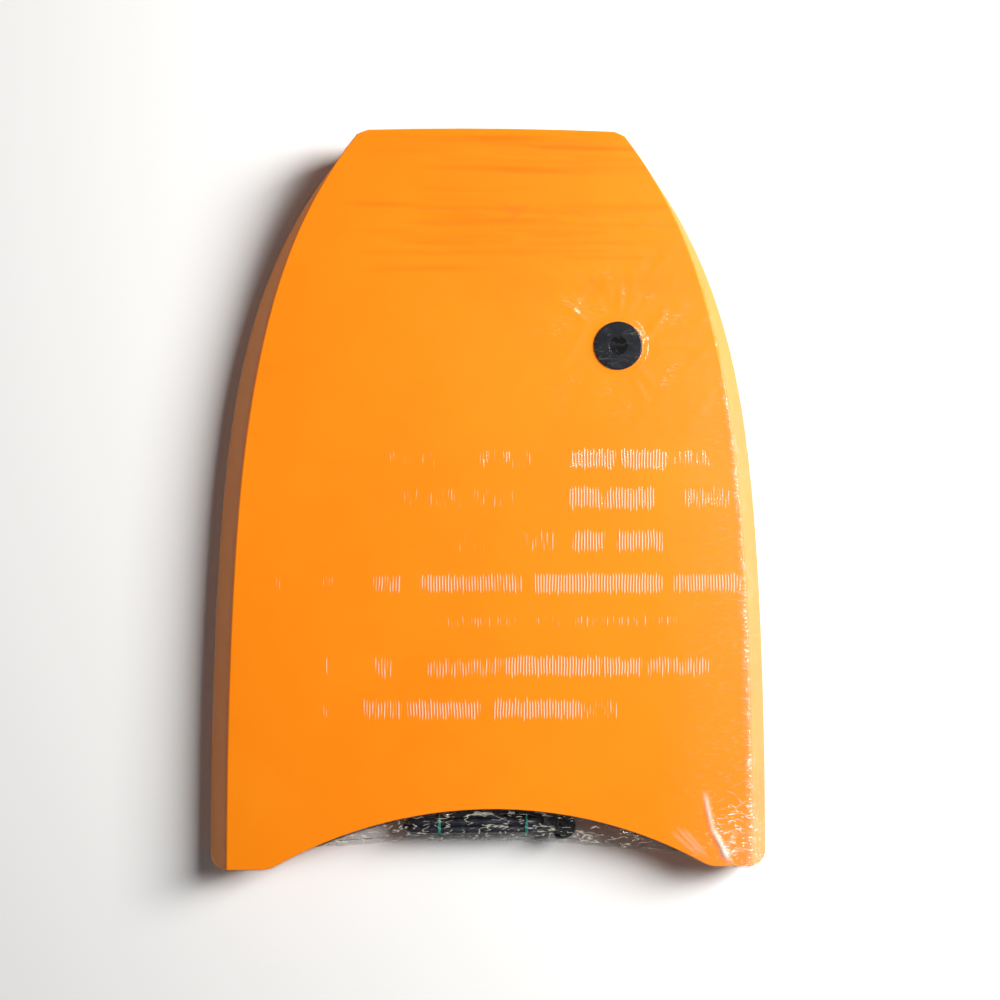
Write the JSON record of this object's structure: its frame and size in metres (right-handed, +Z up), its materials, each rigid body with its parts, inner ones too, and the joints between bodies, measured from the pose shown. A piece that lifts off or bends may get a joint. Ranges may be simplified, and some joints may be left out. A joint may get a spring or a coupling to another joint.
{
  "type": "bodyboard",
  "caption": "Child's foam bodyboard with a squared nose, bevelled rails and crescent tail, shrink-wrapped with its wrist leash packed in the tail and a leash plug through the deck.",
  "frame": {"origin": "under the middle of the wrapped board, on the surface that it lies on", "axes": "+Y from the crescent tail to the nose, +X to the rider's right, +Z up out of the deck"},
  "size_m": [0.5104, 0.662, 0.0732],
  "materials": {
    "core_foam": "moulded bead foam",
    "deck_foam": "fine-celled foam sheet, satin skin",
    "rail_foam": "fine-celled foam strip",
    "slick": "smooth laminated sheet",
    "plug_plastic": "moulded, semi-gloss",
    "shrink_film": "clear shrink film, wrinkled",
    "cord": "satin extruded",
    "swivel_plastic": "moulded",
    "swivel_steel": "polished wire",
    "string": "braided",
    "strap": "nylon on foam, looped pile",
    "hook_tape": "hook tape",
    "webbing": "woven tape",
    "twist_tie": "coated wire tie"
  },
  "bodies": {
    "board": {"foam_core": "core_foam", "deck_skin": "deck_foam", "slick_bottom": "slick", "nose_strip": "rail_foam", "tail_strip": "rail_foam", "rail_strip_left": "rail_foam", "rail_strip_right": "rail_foam", "plug_top": "plug_plastic", "plug_crossbar": "plug_plastic", "plug_base": "plug_plastic", "film_lower": "shrink_film"},
    "film": {"film_upper": "shrink_film"},
    "leash": {"leash_hank": "cord", "cord_to_cuff": "cord", "cord_to_plug": "cord", "cuff_ferrule": "swivel_plastic", "cuff_swivel_eye": "swivel_steel", "plug_ferrule": "swivel_plastic", "plug_swivel_eye": "swivel_steel", "plug_string_loop": "string", "cuff_roll": "strap", "cuff_hook_flap": "hook_tape", "cuff_tab": "webbing", "twist_tie_left": "twist_tie", "twist_tie_right": "twist_tie"},
    "cuff_barrel": {"cuff_swivel_barrel": "swivel_plastic"},
    "plug_barrel": {"plug_swivel_barrel": "swivel_plastic"}
  },
  "joints": [
    {"name": "film_lift", "type": "slide", "parent": "board", "child": "film", "axis": [0, 0, 1], "range_m": [0, 0.3]},
    {"name": "leash_lift", "type": "slide", "parent": "board", "child": "leash", "axis": [0, 0, 1], "range_m": [0, 0.12]},
    {"name": "cuff_swivel_spin", "type": "hinge", "parent": "leash", "child": "cuff_barrel", "pos_m": [0.033, -0.284, 0.0204], "axis": [1, 0, 0], "continuous": true},
    {"name": "plug_swivel_spin", "type": "hinge", "parent": "leash", "child": "plug_barrel", "pos_m": [-0.028, -0.284, 0.03415], "axis": [1, 0, 0], "continuous": true}
  ],
  "couplings": [
    {"joint": "leash_lift", "follows": "film_lift", "ratio": 0.4}
  ]
}
